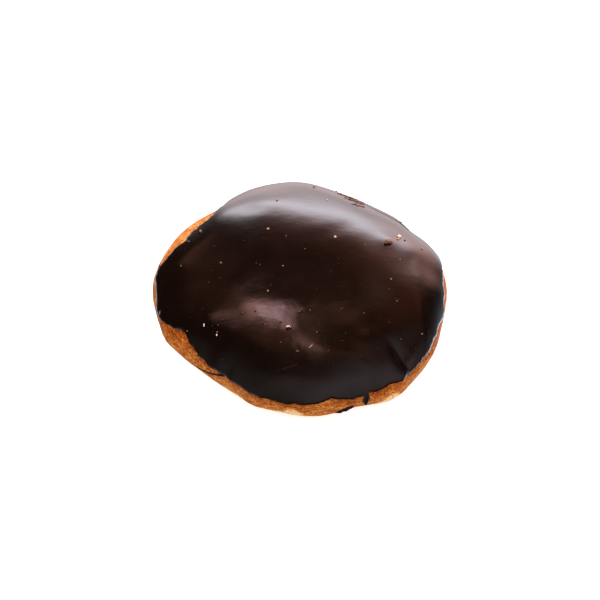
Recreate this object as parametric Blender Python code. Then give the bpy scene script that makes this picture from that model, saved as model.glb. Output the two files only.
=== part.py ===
"""A filled doughnut with dark chocolate icing over its top, about 98 mm long.

The dough is whole and uncut, so it is one solid. The icing is a thin cap with a rounded, uneven lip that
stops a little above the widest part of the dough, and a smear of it has stuck lower down on the side.
Plan angles are in degrees, counted from +X towards +Y, and -Y is the front. Run it with
blender --background --python part.py
"""

import math

import bmesh
import bpy
import numpy as np
from mathutils import Matrix, Vector
from mathutils.bvhtree import BVHTree

MM = 0.001

# Plan of the dough: a leaning ellipse with swellings and flats, each (plan angle, rise, half width in degrees)
HALF_LENGTH = 48.7 * MM
HALF_WIDTH = 40.1 * MM
PLAN_LEAN = -16.0
SWELLINGS = (
    (15.0, 1.7 * MM, 13.0),
    (31.0, -0.9 * MM, 7.0),
    (64.0, -1.2 * MM, 18.0),
    (97.0, 1.8 * MM, 18.0),
    (130.0, -2.3 * MM, 17.0),
    (182.0, 2.8 * MM, 20.0),
    (197.0, 1.0 * MM, 6.0),
    (219.0, -0.4 * MM, 9.0),
    (246.0, 1.6 * MM, 9.0),
    (270.0, 1.3 * MM, 12.0),
    (293.0, -1.0 * MM, 9.0),
    (311.0, 1.1 * MM, 8.0),
    (345.0, -2.1 * MM, 13.0),
)

# Upright section: the widest level, the dome above it, and the belly below it, which the flat base cuts off
WIDEST_LEVEL = 16.0 * MM
DOME_RISE = 20.0 * MM
DOME_POWER = 2.1
BELLY_DROP = 17.5 * MM
BELLY_POWER = 2.6

# Waist of the pale ring between the two fried crusts
WAIST_LEVEL = 10.5 * MM
WAIST_DEPTH = 0.25 * MM
WAIST_HALF_HEIGHT = 3.0 * MM

# Broad hills and hollows of the top, each (x, y, rise, radius) from the middle of the plan. They grow from
# nothing at the widest level to their full rise at LUMP_LATITUDE.
TOP_LUMPS = (
    (-17.0 * MM, -27.0 * MM, 1.5 * MM, 12.0 * MM),
    (14.0 * MM, -17.0 * MM, 0.7 * MM, 11.0 * MM),
    (0.0 * MM, -3.0 * MM, -0.8 * MM, 13.0 * MM),
    (-33.0 * MM, -8.0 * MM, -0.6 * MM, 8.0 * MM),
    (-34.0 * MM, 8.0 * MM, 0.6 * MM, 8.0 * MM),
    (-12.0 * MM, 23.0 * MM, 0.7 * MM, 11.0 * MM),
    (18.0 * MM, 20.0 * MM, 0.6 * MM, 12.0 * MM),
    (34.0 * MM, 9.0 * MM, 0.8 * MM, 7.0 * MM),
    (29.0 * MM, -6.0 * MM, -0.7 * MM, 8.0 * MM),
    (6.0 * MM, -34.0 * MM, 0.7 * MM, 8.0 * MM),
    (24.0 * MM, -29.0 * MM, 0.7 * MM, 7.0 * MM),
)
LUMP_LATITUDE = 35.0

# Folds that run down the shoulder, each (plan angle, depth, half width), deepest at FOLD_LATITUDE
SHOULDER_FOLDS = (
    (232.0, 0.5 * MM, 2.0 * MM),
    (301.0, 0.4 * MM, 2.0 * MM),
    (318.5, 1.0 * MM, 2.2 * MM),
)
FOLD_LATITUDE = 24.0
FOLD_HALF_REACH = 16.0

# Crease along the front left of the side, where the dough was pinched
CREASE_ANGLE = 214.0
CREASE_HALF_SPAN = 17.0
CREASE_LEVEL = 18.0 * MM
CREASE_DEPTH = 0.8 * MM
CREASE_HALF_HEIGHT = 1.1 * MM

# Gentle waves round the side, each (waves in a turn, turn in degrees, amplitude)
SIDE_WAVES = ((5, 40.0, 0.25 * MM), (8, 115.0, 0.20 * MM), (13, 260.0, 0.14 * MM))

# Relief fades out towards the flat base over this height
BASE_FADE = 5.0 * MM

# Icing: its clearance from the dough, its thickness on top and at the lip, the bead along the lip, how many
# degrees of latitude the lip's rounding takes, and the lip's height above the table
ICING_GAP = 0.35 * MM
ICING_ON_TOP = 1.3 * MM
ICING_AT_LIP = 0.75 * MM
FULL_ICING_LATITUDE = 40.0
LIP_BEAD = 0.25 * MM
LIP_BEAD_SPREAD = 0.6
LIP_LATITUDE = 3.4
LIP_LEVEL = 20.5 * MM
LOWEST_LIP = 0.2 * MM

# Where the lip draws back (up) or runs down, each (plan angle, rise, half width in degrees)
LIP_RUNS = (
    (5.0, 1.6 * MM, 9.0),
    (57.0, -2.4 * MM, 5.0),
    (84.0, 1.0 * MM, 7.0),
    (109.0, -1.6 * MM, 4.0),
    (138.0, 7.1 * MM, 12.0),
    (148.0, 1.3 * MM, 5.0),
    (159.0, 6.4 * MM, 11.0),
    (181.0, 1.7 * MM, 8.0),
    (190.0, -1.2 * MM, 5.0),
    (199.0, 2.2 * MM, 5.0),
    (205.0, 3.0 * MM, 6.0),
    (212.0, 0.8 * MM, 3.0),
    (218.0, 1.0 * MM, 6.0),
    (226.0, 1.0 * MM, 3.0),
    (240.0, 1.0 * MM, 7.0),
    (256.5, -0.9 * MM, 3.0),
    (283.0, 1.5 * MM, 6.0),
    (292.5, -1.7 * MM, 3.0),
    (297.7, -3.8 * MM, 2.2),
    (309.0, 1.8 * MM, 6.0),
    (318.0, -1.2 * MM, 2.5),
    (324.0, 1.0 * MM, 6.0),
    (336.0, 0.7 * MM, 8.0),
)
LIP_WAVES = ((17, 20.0, 0.30 * MM), (29, 150.0, 0.22 * MM), (41, 290.0, 0.16 * MM))

# Crumbs and burst bubbles in the icing that are large enough to see, each (x, y, radius)
CRUMBS = (
    (27.0 * MM, 11.2 * MM, 1.15 * MM),
    (31.8 * MM, 14.0 * MM, 0.80 * MM),
    (-4.9 * MM, -21.0 * MM, 0.75 * MM),
    (-38.5 * MM, 14.0 * MM, 0.70 * MM),
    (10.3 * MM, 11.3 * MM, 0.60 * MM),
    (-11.6 * MM, 14.5 * MM, 0.60 * MM),
)
CRUMB_SUNK = 0.15

# The smear on the front of the side
SMEAR_ANGLE = 288.5
SMEAR_HALF_SPAN = 4.4
SMEAR_LEVEL = 13.3 * MM
SMEAR_HALF_HEIGHT = 2.2 * MM
SMEAR_SLANT = 0.8 * MM
SMEAR_THICKNESS = 0.7 * MM
SMEAR_BACK = 0.2

# Mesh sizes. The dough and the icing share their meridians, so that their facets keep the gap.
SEGMENTS = 120
DOUGH_RINGS, BASE_RINGS = 27, 3
ICING_RINGS, LIP_RINGS = 28, 3
SMEAR_SEGMENTS, SMEAR_RINGS = 20, 10

# The distance over which a surface's slope is read
SLOPE_STEP = 0.1 * MM

CRUST_COLOUR, CRUST_ROUGHNESS = (0.42, 0.135, 0.030, 1.0), 0.6
ICING_COLOUR, ICING_ROUGHNESS = (0.016, 0.0075, 0.005, 1.0), 0.3


def gap_between(angle, other):
    """The signed difference of two plan angles in degrees, from -180 to 180."""
    return (angle - other + 180.0) % 360.0 - 180.0


def bell(distance, half_width):
    return np.exp(-((distance / half_width) ** 2))


def smooth_step(share):
    """Eases from 0 to 1 as the share goes from 0 to 1."""
    share = np.clip(share, 0, 1)
    return share * share * (3 - 2 * share)


def waves(angle, rows):
    return sum(size * np.cos(np.radians(count * angle + turn)) for count, turn, size in rows)


def outline(angle):
    """Radius of the dough's plan at its widest level."""
    across = np.radians(angle - PLAN_LEAN)
    radius = HALF_LENGTH * HALF_WIDTH / np.hypot(HALF_WIDTH * np.cos(across), HALF_LENGTH * np.sin(across))
    for middle, rise, half_width in SWELLINGS:
        radius = radius + rise * bell(gap_between(angle, middle), half_width)
    return radius


def base_latitude():
    """The latitude, in degrees below the widest level, at which the belly meets the table."""
    return math.degrees(math.asin((WIDEST_LEVEL / BELLY_DROP) ** (BELLY_POWER / 2)))


def section(latitude):
    """The upright section at a latitude in degrees: the share of the plan's radius, and the height."""
    rim = -base_latitude()
    on_base = latitude <= rim
    turned = np.radians(np.clip(latitude, rim, 90.0))
    power = np.where(latitude >= 0, DOME_POWER, BELLY_POWER)
    rise = np.where(latitude >= 0, DOME_RISE, BELLY_DROP)
    reach = np.abs(np.cos(turned)) ** (2 / power)
    height = WIDEST_LEVEL + np.sign(turned) * rise * np.abs(np.sin(turned)) ** (2 / power)
    reach = np.where(on_base, reach * (latitude + 90.0) / (rim + 90.0), reach)
    return reach, np.where(on_base, 0.0, np.maximum(height, 0.0))


def smooth_form(angle, latitude):
    """Points of the dough without its relief, one row for each pair of angle and latitude."""
    reach, height = section(latitude)
    turned, radius = np.radians(angle), outline(angle) * reach
    return np.stack([radius * np.cos(turned), radius * np.sin(turned), height], axis=-1)


def relief(angle, latitude):
    """How far the dough stands proud of its smooth form."""
    reach, height = section(latitude)
    x, y, _ = smooth_form(angle, latitude).T
    rise = waves(angle, SIDE_WAVES) * reach**4
    rise = rise - WAIST_DEPTH * bell(height - WAIST_LEVEL, WAIST_HALF_HEIGHT)
    along = bell(gap_between(angle, CREASE_ANGLE), CREASE_HALF_SPAN)
    rise = rise - CREASE_DEPTH * along * bell(height - CREASE_LEVEL, CREASE_HALF_HEIGHT)
    on_top = smooth_step(latitude / LUMP_LATITUDE)
    for middle_x, middle_y, size, radius in TOP_LUMPS:
        rise = rise + on_top * size * bell(np.hypot(x - middle_x, y - middle_y), radius)
    on_shoulder = bell(latitude - FOLD_LATITUDE, FOLD_HALF_REACH)
    for middle, depth, half_width in SHOULDER_FOLDS:
        aside = np.radians(gap_between(angle, middle)) * outline(angle) * reach
        rise = rise - depth * on_shoulder * bell(aside, half_width)
    return rise * np.clip(height / BASE_FADE, 0, 1) ** 2


def facing(surface, angle, latitude):
    """Unit normals of a surface, from points just beside each place."""
    latitude = np.clip(latitude, -89.9, 89.9)
    nudge = math.degrees(SLOPE_STEP / HALF_WIDTH) / 2
    east = surface(angle + nudge, latitude) - surface(angle - nudge, latitude)
    north = surface(angle, latitude + nudge) - surface(angle, latitude - nudge)
    normal = np.cross(east, north)
    return normal / np.linalg.norm(normal, axis=-1, keepdims=True)


def dough_surface(angle, latitude):
    out = relief(angle, latitude)[:, None] * facing(smooth_form, angle, latitude)
    return smooth_form(angle, latitude) + out


def above_dough(angle, latitude, distance):
    return dough_surface(angle, latitude) + distance[:, None] * facing(dough_surface, angle, latitude)


def lip_latitude(angle):
    """The latitude at which the icing ends."""
    level = LIP_LEVEL + waves(angle, LIP_WAVES)
    for middle, rise, half_width in LIP_RUNS:
        level = level + rise * bell(gap_between(angle, middle), half_width)
    share = np.maximum(level - WIDEST_LEVEL, LOWEST_LIP) / DOME_RISE
    return np.degrees(np.arcsin(share ** (DOME_POWER / 2)))


def icing_surface(angle, latitude, outside):
    """The icing's outer skin, or its inner one, which meet in a round lip."""
    into = np.clip((latitude - lip_latitude(angle)) / LIP_LATITUDE, 0, 1)
    roundness = np.sqrt(1 - (1 - into) ** 2)
    upwards = np.clip((latitude - lip_latitude(angle)) / FULL_ICING_LATITUDE, 0, 1)
    thickness = ICING_AT_LIP + (ICING_ON_TOP - ICING_AT_LIP) * upwards
    thickness = thickness + LIP_BEAD * bell(into - 1, LIP_BEAD_SPREAD)
    side = np.where(outside, 1.0, -1.0)
    return above_dough(angle, latitude, ICING_GAP + thickness * (1 + side * roundness) / 2)


def wrapped_sphere(name, segments, rings, place, material):
    """A UV sphere whose points are moved by place(plan angle, ring), ring 0 being the upper pole."""
    bm = bmesh.new()
    bmesh.ops.create_uvsphere(bm, u_segments=segments, v_segments=rings, radius=1.0)
    directions = np.array([vertex.co.normalized() for vertex in bm.verts])
    angle = np.degrees(np.arctan2(directions[:, 1], directions[:, 0]))
    ring = np.round(np.arccos(np.clip(directions[:, 2], -1, 1)) * rings / math.pi)
    for vertex, point in zip(bm.verts, place(angle, ring)):
        vertex.co = Vector(point)
    mesh = bpy.data.meshes.new(name)
    bm.to_mesh(mesh)
    bm.free()
    mesh.shade_smooth()
    mesh.materials.append(material)
    return bpy.data.objects.new(name, mesh)


def dough_place(angle, ring):
    rim = DOUGH_RINGS - BASE_RINGS
    latitude = np.interp(ring, (0, rim, DOUGH_RINGS), (90.0, -base_latitude(), -90.0))
    return dough_surface(angle, latitude)


def icing_place(angle, ring):
    """Rings run from the top down the outer skin, round the lip at the middle ring, and back up inside."""
    lip_ring = ICING_RINGS // 2
    from_lip = np.abs(ring - lip_ring)
    lip = lip_latitude(angle)
    round_part = lip + LIP_LATITUDE * (1 - np.cos(np.clip(from_lip / LIP_RINGS, 0, 1) * math.pi / 2))
    upper_share = np.clip((from_lip - LIP_RINGS) / (lip_ring - LIP_RINGS), 0, 1)
    latitude = round_part + (90.0 - lip - LIP_LATITUDE) * upper_share
    return icing_surface(angle, latitude, ring <= lip_ring)


def latitude_of(level):
    """The latitude below the widest level that lies at a height above the table."""
    share = (WIDEST_LEVEL - level) / BELLY_DROP
    return -np.degrees(np.arcsin(np.clip(share, 0, 1) ** (BELLY_POWER / 2)))


def smear_place(angle, ring):
    """A flat-backed drop: the sphere's width and height lie along the side, and its depth stands out."""
    turned, polar = np.radians(angle), ring * math.pi / SMEAR_RINGS
    along, outwards = np.sin(polar) * np.cos(turned), np.cos(polar)
    upwards = np.sin(polar) * np.sin(turned)
    level = SMEAR_LEVEL + SMEAR_HALF_HEIGHT * upwards + SMEAR_SLANT * along
    distance = ICING_GAP + SMEAR_THICKNESS * (SMEAR_BACK + np.maximum(outwards, -SMEAR_BACK))
    return above_dough(SMEAR_ANGLE + SMEAR_HALF_SPAN * along, latitude_of(level), distance)


def crumb(index, spot, radius, skin, material):
    """A round crumb, partly sunk in the icing below a spot of the plan."""
    point, normal, _, _ = skin.ray_cast(Vector((*spot, 1.0)), Vector((0, 0, -1)))
    bm = bmesh.new()
    bmesh.ops.create_icosphere(bm, subdivisions=1, radius=radius)
    bmesh.ops.translate(bm, verts=bm.verts, vec=point - normal * radius * CRUMB_SUNK)
    mesh = bpy.data.meshes.new(f"crumb_{index}")
    bm.to_mesh(mesh)
    bm.free()
    mesh.materials.append(material)
    return bpy.data.objects.new(mesh.name, mesh)


def join_crumbs(icing, material):
    """Fuses the crumbs with the icing by one union, then removes them."""
    skin = BVHTree.FromPolygons(
        [vertex.co for vertex in icing.data.vertices], [face.vertices for face in icing.data.polygons]
    )
    crumbs = bpy.data.collections.new("crumbs")
    bpy.context.scene.collection.children.link(crumbs)
    for index, (x, y, radius) in enumerate(CRUMBS):
        crumbs.objects.link(crumb(index, (x, y), radius, skin, material))
    union = icing.modifiers.new("crumbs", "BOOLEAN")
    union.operation = "UNION"
    union.operand_type = "COLLECTION"
    union.collection = crumbs
    bpy.context.view_layer.update()
    graph = bpy.context.evaluated_depsgraph_get()
    icing.data = bpy.data.meshes.new_from_object(icing.evaluated_get(graph))
    icing.modifiers.clear()
    for obj in list(crumbs.objects):
        bpy.data.objects.remove(obj)
    bpy.data.collections.remove(crumbs)


def centre_on_origin(objects):
    """Slides the pieces together so that the middle of their plan is the origin."""
    points = np.array([vertex.co for obj in objects for vertex in obj.data.vertices])
    middle = (points.min(axis=0) + points.max(axis=0)) / 2
    for obj in objects:
        obj.data.transform(Matrix.Translation((-middle[0], -middle[1], 0)))


def food_material(name, colour, roughness):
    material = bpy.data.materials.new(name)
    material.use_nodes = True
    shader = material.node_tree.nodes["Principled BSDF"]
    shader.inputs["Base Color"].default_value = colour
    shader.inputs["Roughness"].default_value = roughness
    shader.inputs["Metallic"].default_value = 0.0
    material.diffuse_color = colour
    return material


def main():
    for obj in list(bpy.data.objects):
        bpy.data.objects.remove(obj)
    crust = food_material("crust", CRUST_COLOUR, CRUST_ROUGHNESS)
    chocolate = food_material("chocolate", ICING_COLOUR, ICING_ROUGHNESS)
    dough = wrapped_sphere("dough", SEGMENTS, DOUGH_RINGS, dough_place, crust)
    icing = wrapped_sphere("icing", SEGMENTS, ICING_RINGS, icing_place, chocolate)
    smear = wrapped_sphere("icing_smear", SMEAR_SEGMENTS, SMEAR_RINGS, smear_place, chocolate)
    pieces = (dough, icing, smear)
    collection = bpy.data.collections.new("iced_doughnut")
    bpy.context.scene.collection.children.link(collection)
    for piece in pieces:
        collection.objects.link(piece)
    join_crumbs(icing, chocolate)
    centre_on_origin(pieces)


main()
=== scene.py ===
"""The look of a filled doughnut with dark chocolate icing: crust, glossy icing, crumbs, camera and light.

The first part repeats the doughnut's form from named sizes, on a much finer mesh than the solids have. Plan
angles are in degrees, counted from +X towards +Y, and -Y is the front. Latitudes count up from the widest
level of the dough. Points are worked out round the middle of the plan and then moved into the frame.
Pixels are counted from the upper left of a picture of 600 by 600.
"""

import functools
import math

import bmesh
import bpy
import numpy as np
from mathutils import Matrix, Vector, noise
from mathutils.bvhtree import BVHTree


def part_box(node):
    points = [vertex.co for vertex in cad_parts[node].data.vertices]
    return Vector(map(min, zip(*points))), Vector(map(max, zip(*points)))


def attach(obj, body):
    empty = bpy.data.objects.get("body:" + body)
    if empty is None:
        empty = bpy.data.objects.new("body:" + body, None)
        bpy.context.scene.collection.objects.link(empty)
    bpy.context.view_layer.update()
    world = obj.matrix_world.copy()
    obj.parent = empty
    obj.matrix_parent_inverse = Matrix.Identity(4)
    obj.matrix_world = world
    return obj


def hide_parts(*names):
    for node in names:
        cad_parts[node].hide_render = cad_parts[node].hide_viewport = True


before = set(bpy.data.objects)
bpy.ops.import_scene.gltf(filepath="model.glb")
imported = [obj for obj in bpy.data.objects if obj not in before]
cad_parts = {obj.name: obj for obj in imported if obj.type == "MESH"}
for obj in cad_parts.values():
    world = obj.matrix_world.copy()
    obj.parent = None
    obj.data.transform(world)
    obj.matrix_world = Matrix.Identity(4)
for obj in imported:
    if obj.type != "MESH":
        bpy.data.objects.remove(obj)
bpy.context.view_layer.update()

MM = 0.001


def in_mm(rows, kept=0):
    """The rows, with their numbers after the first few turned from millimetres into metres."""
    return [(*row[:kept], *(number * MM for number in row[kept:])) for row in rows]


# Plan of the dough: leaning ellipse with swellings and flats, each (plan angle, half width in degrees, rise)
HALF_LENGTH = 48.7 * MM
HALF_WIDTH = 40.1 * MM
PLAN_LEAN = -16.0
SWELLINGS = in_mm((
    (15, 13, 1.7), (31, 7, -0.9), (64, 18, -1.2), (97, 18, 1.8),
    (130, 17, -2.3), (182, 20, 2.8), (197, 6, 1), (219, 9, -0.4),
    (246, 9, 1.6), (270, 12, 1.3), (293, 9, -1), (311, 8, 1.1),
    (345, 13, -2.1),
), kept=2)

# Latitudes between which the swellings melt, and how wide they have spread at the end, in degrees
MELT_LATITUDE, MELTED_LATITUDE, MELTED_SPREAD = 12.0, 72.0, 60.0

# Upright section: the widest level, the dome above it, and the belly below it, which the flat base cuts off
WIDEST_LEVEL = 16.0 * MM
DOME_RISE = 20.0 * MM
DOME_POWER = 2.1
BELLY_DROP = 17.5 * MM
BELLY_POWER = 2.6
WAIST_LEVEL = 10.5 * MM
WAIST_DEPTH = 0.25 * MM
WAIST_HALF_HEIGHT = 3.0 * MM
BASE_FADE = 5.0 * MM

# Broad hills and hollows of the top, each (x, y, rise, radius)
TOP_LUMPS = in_mm((
    (-17, -27, 1.5, 12), (14, -17, 0.7, 11), (0, -3, -0.8, 13), (-33, -8, -0.6, 8),
    (-34, 8, 0.6, 8), (-12, 23, 0.7, 11), (18, 20, 0.6, 12), (34, 9, 0.8, 7),
    (29, -6, -0.7, 8), (6, -34, 0.7, 8), (24, -29, 0.7, 7),
))
LUMP_LATITUDE = 35.0

# Folds that run down the shoulder, each (plan angle, depth, half width)
SHOULDER_FOLDS = in_mm((
    (232, 0.5, 2),
    (301, 0.4, 2),
    (318.5, 1, 2.2),
), kept=1)
FOLD_LATITUDE = 24.0
FOLD_HALF_REACH = 16.0

# Crease along the front left of the side, where the dough was pinched
CREASE_ANGLE = 214.0
CREASE_HALF_SPAN = 17.0
CREASE_LEVEL = 18.0 * MM
CREASE_DEPTH = 0.8 * MM
CREASE_HALF_HEIGHT = 1.1 * MM

# Gentle waves round the side, each (waves in a turn, turn in degrees, amplitude)
SIDE_WAVES = ((5, 40.0, 0.25 * MM), (8, 115.0, 0.20 * MM), (13, 260.0, 0.14 * MM))

# Fine wrinkles of the crust, each (plan angle, half span, level, slant per degree, depth, half height)
WRINKLES = in_mm((
    (203, 9, 21.4, -0.13, 0.30, 0.35), (208, 12, 16.4, -0.16, 0.28, 0.40),
    (247, 14, 14.8, 0.02, 0.14, 0.35), (322, 16, 17.2, 0.03, 0.20, 0.40),
    (346, 12, 15, -0.03, 0.16, 0.40), (150, 16, 17.6, 0.02, 0.20, 0.45),
    (95, 20, 15.2, 0.03, 0.18, 0.45), (40, 18, 14, -0.02, 0.18, 0.45),
), kept=2)

# Unevenness of the crust, each (height, length of its lumps, how much flatter they lie, seed), and the height
# over which it fades towards the base
CRUST_GRAINS = ((0.13 * MM, 6.0 * MM, 2.2, 1), (0.05 * MM, 1.3 * MM, 2.0, 2))
CRUST_FADE = 3.0 * MM

# Pale ring that stayed above the frying fat: its level, half height, and rises, each (plan angle, half width
# in degrees, rise)
RING_LEVEL = 9.3 * MM
RING_HALF_HEIGHT = 3.0 * MM
RING_RISES = in_mm((
    (8, 4, 8.5), (80, 16, 1.2), (150, 18, 6),
    (239, 4, 1.6), (265, 4.5, 5), (308.5, 4, 6),
), kept=2)
# Unevenness of the ring's level, of its half height and of its edge, each (size, length of its runs or lumps)
RING_WANDER, RING_BREADTH, RING_FRAY = (1.1 * MM, 14 * MM), (0.45, 20 * MM), (0.35, 2.5 * MM)

# How far below the icing the crust turns from golden to pinkish brown, the unevenness of that, and the plan
# angle on the back left round which it isn't golden, with the half span and the share by which it is lighter
# there: painted sheen
GOLDEN_DEPTH = 6.0 * MM
GOLDEN_WANDER, GOLDEN_FRAY = (0.5, 12 * MM), (0.3, 3.0 * MM)
SHEEN_ANGLE, SHEEN_HALF_SPAN = 155.0, 28.0
SHEEN_SHARE = 0.12

# Icing: its height above the dough on top and at the lip, the lip's bead, rounding and level, and how far its
# underside sinks into the crust
ICING_ON_TOP = 1.65 * MM
ICING_AT_LIP = 1.00 * MM
THIN_ICING_LATITUDE, FULL_ICING_LATITUDE = 8.0, 62.0
LIP_BEAD = 0.25 * MM
LIP_BEAD_SPREAD = 0.6
LIP_LATITUDE = 3.4
LIP_LEVEL = 20.5 * MM
LOWEST_LIP = 0.2 * MM
ICING_SUNK = 0.15 * MM

# Where the lip draws back (up) or runs down, each (plan angle, half width in degrees, rise)
LIP_RUNS = in_mm((
    (5, 9, 1.6), (57, 5, -2.4), (84, 7, 1), (109, 4, -1.6), (138, 12, 7.1),
    (148, 5, 1.3), (159, 11, 6.4), (181, 8, 1.7), (190, 5, -1.2), (199, 5, 2.2),
    (205, 6, 3), (212, 3, 0.8), (218, 6, 1), (226, 3, 1), (240, 7, 1),
    (256.5, 3, -0.9), (283, 6, 1.5), (292.5, 3, -1.7), (309, 6, 1.8), (318, 2.5, -1.2),
    (324, 6, 1), (336, 8, 0.7),
), kept=2)
LIP_WAVES = ((17, 20.0, 0.30 * MM), (29, 150.0, 0.22 * MM), (41, 290.0, 0.16 * MM))
DRIP_ANGLE, DRIP_DROP, DRIP_HALF_WIDTH = 298.1, 3.4 * MM, 0.95
RAGGED_LIP = 0.38 * MM
RAGGED_LENGTH = 1.4 * MM

# Slow swells of the icing's own surface, each (x, y, rise, radius)
GLAZE_SWELLS = in_mm((
    (-25.5, 22.5, 0.55, 6.5), (-1.8, -23, 0.19, 6), (0.3, -28.5, 0.14, 6), (-17.5, -23, -0.34, 7.8),
    (-15.2, -24, 0.29, 4.2), (13.3, -11.5, -0.55, 10), (27, 11.8, 0.42, 3.5), (31.7, -3.4, 0.46, 6.8),
    (-32, 7.7, -0.55, 7.6), (17.2, 25.7, -0.52, 10),
))
# Long ripples of the icing, each (turn in degrees, x, y, half length, half width, rise), and the latitudes
# between which they set in
GLAZE_RIPPLES = in_mm((
    (-9, 32.4, -25.7, 3.4, 11.6, -0.45), (-117, 35.5, -28.4, 9.9, 1.5, 0.45),
    (5, 39.6, -19.1, 1.9, 11.9, 0.20), (-11, -5.2, -35, 12, 2.5, 0.33),
    (-35, -22.6, -25.7, 4.4, 12, 0.31), (-71, -27.9, -24, 12, 2.3, 0.17),
    (-19, -30, 5.3, 11.9, 5.5, -0.45), (69, -27.7, 24, 12, 4.6, 0.45),
    (87, -16.5, 23.8, 2.5, 5.1, -0.20), (36, -11, 26.3, 12, 4.2, 0.19),
    (50, 2, 31.8, 7.3, 12, -0.45), (-64, 12, 15.2, 2.9, 12, -0.11),
    (-36, 28.8, 17.7, 9.2, 7.2, -0.45), (-115, 43, 4.1, 4.3, 11.2, -0.41),
    (110, 33.7, 3.5, 12, 5.7, -0.30), (-174, -2.4, -11.5, 7.7, 4.5, 0.25),
    (8, 0.8, -15, 2.5, 1.5, 0.10), (32, -18.1, -12.8, 6.6, 3.6, 0.15),
    (-11, 15.7, -29.8, 12, 2.4, 0.27), (-151, 22.1, -24, 11.5, 3.4, 0.45),
), kept=1)
RIPPLE_LATITUDE, FULL_RIPPLE_LATITUDE = 4.0, 15.0
# Small unevenness of the icing, each (height, length of its lumps)
GLAZE_GRAINS = ((0.020 * MM, 8.0 * MM), (0.008 * MM, 3.0 * MM))

# Smear on the front of the side
SMEAR_ANGLE = 288.5
SMEAR_HALF_SPAN = 4.4
SMEAR_LEVEL = 13.3 * MM
SMEAR_HALF_HEIGHT = 2.0 * MM
SMEAR_SLANT = 0.8 * MM
SMEAR_HEIGHT = 0.75 * MM

# Mesh sizes: how many points go round, and where they lie closer, each (plan angle, half width, share more)
SEGMENTS = 640
CLOSER_POINTS = ((270.0, 80.0, 1.6), (298.1, 4.0, 4.0))
# Rows of the dough's points: how many on top, side and base, where the side's start, the gap to the others,
# and the last latitude
TOP_ROWS, SIDE_ROWS, BASE_ROWS = 14, 126, 8
SIDE_TOP, ROW_GAP, LAST_ROW = 31.5, 0.5, 88.0
# Rows of the icing's points: how many above, round and under the lip, how much those above crowd towards it,
# and the share of the way to the middle that those under it reach
UPPER_ROWS, NOSE_ROWS, UNDER_ROWS = 114, 12, 14
UPPER_CROWDING, UNDER_REACH = 1.15, 0.98
SLOPE_STEP = 0.1 * MM

# Camera: where it looks from the middle of the plan, its distance, and how steeply it looks down, in degrees
LOOK_AT = (-1.2 * MM, -1.9 * MM, 18.0 * MM)
CAMERA_DISTANCE = 0.554
CAMERA_ELEVATION = 62.0
LENS, SENSOR = 100.0, 36.0
PICTURE_SIZE = 600

# Bubbles under the icing's skin, each (pixel across, pixel down, radius), the share of it that they rise,
# their shape, and the shares of it at which their rows of points lie
BUBBLES = in_mm((
    (300.3, 311.8, 0.50), (288.5, 328, 0.75), (280.6, 321.9, 0.33), (242, 313.4, 0.38),
    (222, 320.2, 0.38), (264.5, 323.3, 0.25), (255, 311.4, 0.28), (292, 314.8, 0.25),
    (317.5, 332.6, 0.45), (343, 308.3, 0.45), (389, 322.8, 0.35), (188, 242, 0.55),
    (200.5, 232.5, 0.55), (401, 222, 0.55), (214, 246, 0.28), (161, 313, 1.00),
), kept=2)
BUBBLE_RISE, BUBBLE_BREADTH, BUBBLE_POWER = 0.22, 0.8, 2.2
BUBBLE_ROWS = (0.15, 0.3, 0.45, 0.6, 0.75, 0.9, 1.05, 1.25, 1.5, 1.8)
# Crumbs in the icing, and pale grains that are painted glints, each (pixel across, pixel down, tone from dark
# 0 to pale 1, radius), the share of their height by which their middle stands proud, their unevenness, and
# their shape
CRUMBS_AND_GLINTS = in_mm((
    # The first grain is the big crumb; the dark grain below left of it is partly icing over the crumb and
    # partly painted shadow.
    (388.8, 242.2, 0.45, 1.20), (386, 244, 0.03, 0.80), (387.6, 240, 0.68, 0.60),
    (399, 236.8, 0.90, 0.80), (398, 239.2, 0.80, 0.50), (404.8, 240.2, 0.50, 0.42),
    (336.4, 191.4, 0.30, 0.30), (341, 194.2, 0.30, 0.30), (350, 199.6, 0.28, 0.42),
    (401, 222.6, 0.20, 0.32), (335, 237, 0.80, 0.50), (268, 229, 0.75, 0.45),
    (286, 236, 0.45, 0.30), (305, 249, 0.40, 0.25), (221, 263, 0.55, 0.38),
    (283, 266, 0.50, 0.38), (260, 265, 0.35, 0.25), (181, 266, 0.50, 0.30),
    (268, 291, 0.60, 0.38), (422, 249, 0.70, 0.42), (391, 279, 0.60, 0.34),
    (400, 260, 0.50, 0.34), (365, 245, 0.50, 0.30), (277, 200, 0.70, 0.42),
    (314, 187, 0.60, 0.42), (327, 200, 0.85, 0.32), (200.5, 231, 0.65, 0.45),
    (218, 325, 0.40, 0.25), (297, 351, 0.50, 0.30), (310, 310, 0.60, 0.22),
    (292, 315, 0.60, 0.20), (265, 324, 0.60, 0.22), (397, 301, 0.45, 0.30),
    # Painted glints: the grains of tone 0.8 and 1 at (204, 324.2), (204, 325.8), (216.7, 335), (217.3, 332)
    # and (187, 331).
    (364, 313, 0.45, 0.25), (422, 334, 0.55, 0.32), (204, 324.2, 1, 0.25),
    (204, 325.8, 1, 0.25), (216.7, 335, 1, 0.30), (217.3, 332, 0.8, 0.17),
    (187, 331, 0.8, 0.16), (401, 339, 0.5, 0.22), (298.5, 351, 0.5, 0.25),
    (281, 342.2, 0.45, 0.25), (328.3, 350.6, 0.35, 0.22), (389, 289, 0.4, 0.20),
    # Painted glints: the last nine grains, pale ones set on the bubbles.
    (286.3, 327, 0.80, 0.22), (287.6, 326.3, 0.95, 0.28), (289, 326.2, 0.95, 0.28),
    (290.4, 326.9, 0.80, 0.22), (300, 311, 0.75, 0.16), (280.6, 321.3, 0.75, 0.14),
    (241.9, 312.9, 0.75, 0.15), (222, 319.8, 0.70, 0.13), (317.6, 332, 0.60, 0.13),
), kept=3)
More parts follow.
